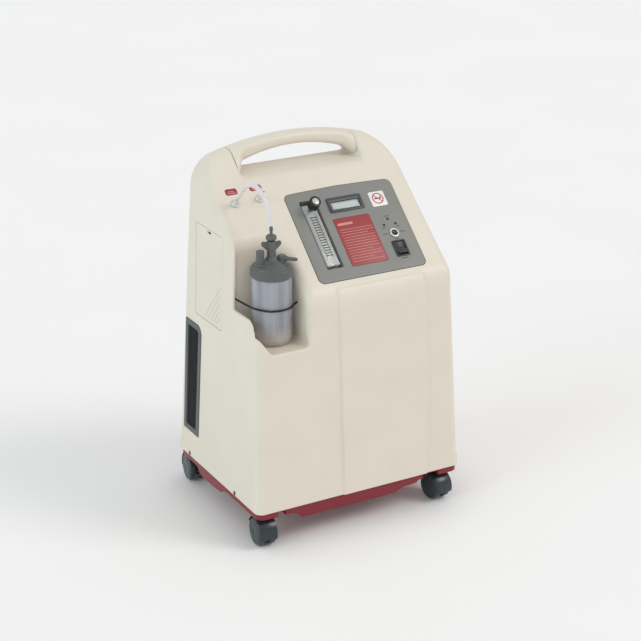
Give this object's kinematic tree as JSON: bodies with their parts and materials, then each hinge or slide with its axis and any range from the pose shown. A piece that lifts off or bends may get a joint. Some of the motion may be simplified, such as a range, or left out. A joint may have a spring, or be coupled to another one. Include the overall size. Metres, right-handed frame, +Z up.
{
  "type": "oxygen concentrator",
  "caption": "Floor-standing oxygen concentrator on swivel casters, with sloped control panel, flowmeter, carry handle and a bubble humidifier bottle in a front corner recess.",
  "frame": {"origin": "on the floor, under the middle of the whole object's bounding box", "axes": "+Z up, the control panel faces -Y, +X to the right of someone facing the panel"},
  "size_m": [0.4, 0.332, 0.635],
  "materials": {
    "shell_plastic": "fine moulded grain, satin",
    "tray_plastic": "satin moulded plastic",
    "panel_plastic": "fine grain, matt",
    "bezel_plastic": "semi-gloss",
    "screen_glass": "clear window over a grey display",
    "red_plate": "printed film",
    "white_plastic": "smooth",
    "black_plastic": "semi-gloss",
    "chrome": "polished",
    "clear_acrylic": "polished clear acrylic",
    "clear_tube": "clear soft tubing",
    "elastic_rubber": "black elastic cord",
    "lid_plastic": "satin",
    "jar_plastic": "translucent moulded plastic",
    "filter_foam": "open-cell foam",
    "chassis_steel": "zinc-plated sheet",
    "cast_aluminium": "as cast and machined",
    "circuit_board": "solder mask",
    "axle_steel": "ground rod",
    "caster_plastic": "satin nylon",
    "caster_tread": "nylon wheel"
  },
  "bodies": {
    "main": {"base_tray": "tray_plastic", "front_cover": "shell_plastic", "bottle_well": "shell_plastic", "rear_cover": "shell_plastic", "carry_handle": "shell_plastic", "control_panel": "panel_plastic", "display_bezel": "bezel_plastic", "display_screen": "screen_glass", "instruction_plate": "red_plate", "pictogram_plate": "white_plastic", "indicator_light_pipe": "black_plastic", "reset_ring": "chrome", "switch_housing": "black_plastic", "flowmeter_block": "clear_acrylic", "outlet_port": "chrome", "spare_port": "chrome", "bottle_strap": "elastic_rubber", "mains_inlet": "black_plastic", "exhaust_grille": "shell_plastic", "chassis": "chassis_steel", "compressor": "cast_aluminium", "sieve_bed_left": "cast_aluminium", "sieve_bed_right": "cast_aluminium", "product_tank": "cast_aluminium", "valve_manifold": "black_plastic", "intake_filter": "white_plastic", "fan_housing": "black_plastic", "control_board": "circuit_board"},
    "reset": {"reset_button": "black_plastic"},
    "rocker": {"power_rocker": "black_plastic"},
    "knob": {"flow_knob": "black_plastic", "flow_knob_cap": "white_plastic"},
    "float": {"flow_float": "chrome"},
    "bottle": {"humidifier_lid": "lid_plastic", "relief_cap": "lid_plastic", "inlet_stem": "lid_plastic", "diffuser_tube": "white_plastic", "oxygen_tube": "clear_tube"},
    "jar": {"humidifier_jar": "jar_plastic"},
    "nut": {"wing_nut": "lid_plastic"},
    "door": {"access_door": "shell_plastic"},
    "filter": {"filter_frame": "panel_plastic", "filter_foam": "filter_foam"},
    "fan": {"fan_rotor": "black_plastic"},
    "front_left_caster": {"caster_front_left_housing": "caster_plastic", "caster_front_left_axle": "axle_steel"},
    "front_left_wheel_left": {"caster_front_left_wheel_left": "caster_tread"},
    "front_left_wheel_right": {"caster_front_left_wheel_right": "caster_tread"},
    "front_right_caster": {"caster_front_right_housing": "caster_plastic", "caster_front_right_axle": "axle_steel"},
    "front_right_wheel_left": {"caster_front_right_wheel_left": "caster_tread"},
    "front_right_wheel_right": {"caster_front_right_wheel_right": "caster_tread"},
    "rear_left_caster": {"caster_rear_left_housing": "caster_plastic", "caster_rear_left_axle": "axle_steel"},
    "rear_left_wheel_left": {"caster_rear_left_wheel_left": "caster_tread"},
    "rear_left_wheel_right": {"caster_rear_left_wheel_right": "caster_tread"},
    "rear_right_caster": {"caster_rear_right_housing": "caster_plastic", "caster_rear_right_axle": "axle_steel"},
    "rear_right_wheel_left": {"caster_rear_right_wheel_left": "caster_tread"},
    "rear_right_wheel_right": {"caster_rear_right_wheel_right": "caster_tread"}
  },
  "joints": [
    {"name": "reset_press", "type": "slide", "parent": "main", "child": "reset", "axis": [0, 0.6691, -0.7431], "range_m": [0, 0.0025], "stiffness_N_per_m": 300, "springref_m": -0.001},
    {"name": "power_switch", "type": "hinge", "parent": "main", "child": "rocker", "pos_m": [0.1098, -0.09389, 0.45927], "axis": [1, 0, 0], "range_deg": [0, 16]},
    {"name": "flow_knob_turn", "type": "hinge", "parent": "main", "child": "knob", "pos_m": [-0.0225, -0.0291, 0.53645], "axis": [0, -0.6691, 0.7431], "range_deg": [-720, 0]},
    {"name": "flow_float_rise", "type": "slide", "parent": "main", "child": "float", "axis": [0, 0.7431, 0.6691], "range_m": [0, 0.078]},
    {"name": "bottle_lift", "type": "slide", "parent": "main", "child": "bottle", "axis": [0, -0.6691, 0.7431], "range_m": [0, 0.15], "deforming": ["bottle_strap"]},
    {"name": "jar_unscrew", "type": "hinge", "parent": "bottle", "child": "jar", "pos_m": [-0.131, -0.0895, 0.45561], "axis": [0, 0, 1], "range_deg": [0, 540]},
    {"name": "wing_nut_turn", "type": "hinge", "parent": "bottle", "child": "nut", "pos_m": [-0.131, -0.0895, 0.50561], "axis": [0, 0, 1], "range_deg": [0, 540]},
    {"name": "access_door_open", "type": "hinge", "parent": "main", "child": "door", "pos_m": [-0.18885, -0.0075, 0.34352], "axis": [0, -1, 0], "range_deg": [0, 75]},
    {"name": "filter_open", "type": "hinge", "parent": "main", "child": "filter", "pos_m": [-0.19839, -0.0075, 0.11455], "axis": [0, -1, 0], "range_deg": [0, 50]},
    {"name": "fan_spin", "type": "hinge", "parent": "main", "child": "fan", "pos_m": [-0.06, 0.12079, 0.19885], "axis": [0, 0.998, 0.0637], "continuous": true},
    {"name": "front_left_swivel", "type": "hinge", "parent": "main", "child": "front_left_caster", "pos_m": [-0.176, -0.1175, 0.06], "axis": [0, 0, 1], "continuous": true},
    {"name": "front_left_wheel_left_roll", "type": "hinge", "parent": "front_left_caster", "child": "front_left_wheel_left", "pos_m": [-0.17774, -0.13742, 0.0245], "axis": [-0.9962, 0.0872, 0], "continuous": true},
    {"name": "front_left_wheel_right_roll", "type": "hinge", "parent": "front_left_caster", "child": "front_left_wheel_right", "pos_m": [-0.17774, -0.13742, 0.0245], "axis": [-0.9962, 0.0872, 0], "continuous": true},
    {"name": "front_right_swivel", "type": "hinge", "parent": "main", "child": "front_right_caster", "pos_m": [0.164, -0.1175, 0.06], "axis": [0, 0, 1], "continuous": true},
    {"name": "front_right_wheel_left_roll", "type": "hinge", "parent": "front_right_caster", "child": "front_right_wheel_left", "pos_m": [0.16609, -0.13739, 0.0245], "axis": [-0.9945, -0.1045, 0], "continuous": true},
    {"name": "front_right_wheel_right_roll", "type": "hinge", "parent": "front_right_caster", "child": "front_right_wheel_right", "pos_m": [0.16609, -0.13739, 0.0245], "axis": [-0.9945, -0.1045, 0], "continuous": true},
    {"name": "rear_left_swivel", "type": "hinge", "parent": "main", "child": "rear_left_caster", "pos_m": [-0.176, 0.1175, 0.06], "axis": [0, 0, 1], "continuous": true},
    {"name": "rear_left_wheel_left_roll", "type": "hinge", "parent": "rear_left_caster", "child": "rear_left_wheel_left", "pos_m": [-0.17391, 0.13739, 0.0245], "axis": [0.9945, -0.1045, 0], "continuous": true},
    {"name": "rear_left_wheel_right_roll", "type": "hinge", "parent": "rear_left_caster", "child": "rear_left_wheel_right", "pos_m": [-0.17391, 0.13739, 0.0245], "axis": [0.9945, -0.1045, 0], "continuous": true},
    {"name": "rear_right_swivel", "type": "hinge", "parent": "main", "child": "rear_right_caster", "pos_m": [0.164, 0.1175, 0.06], "axis": [0, 0, 1], "continuous": true},
    {"name": "rear_right_wheel_left_roll", "type": "hinge", "parent": "rear_right_caster", "child": "rear_right_wheel_left", "pos_m": [0.1626, 0.13745, 0.0245], "axis": [0.9976, 0.0698, 0], "continuous": true},
    {"name": "rear_right_wheel_right_roll", "type": "hinge", "parent": "rear_right_caster", "child": "rear_right_wheel_right", "pos_m": [0.1626, 0.13745, 0.0245], "axis": [0.9976, 0.0698, 0], "continuous": true}
  ]
}
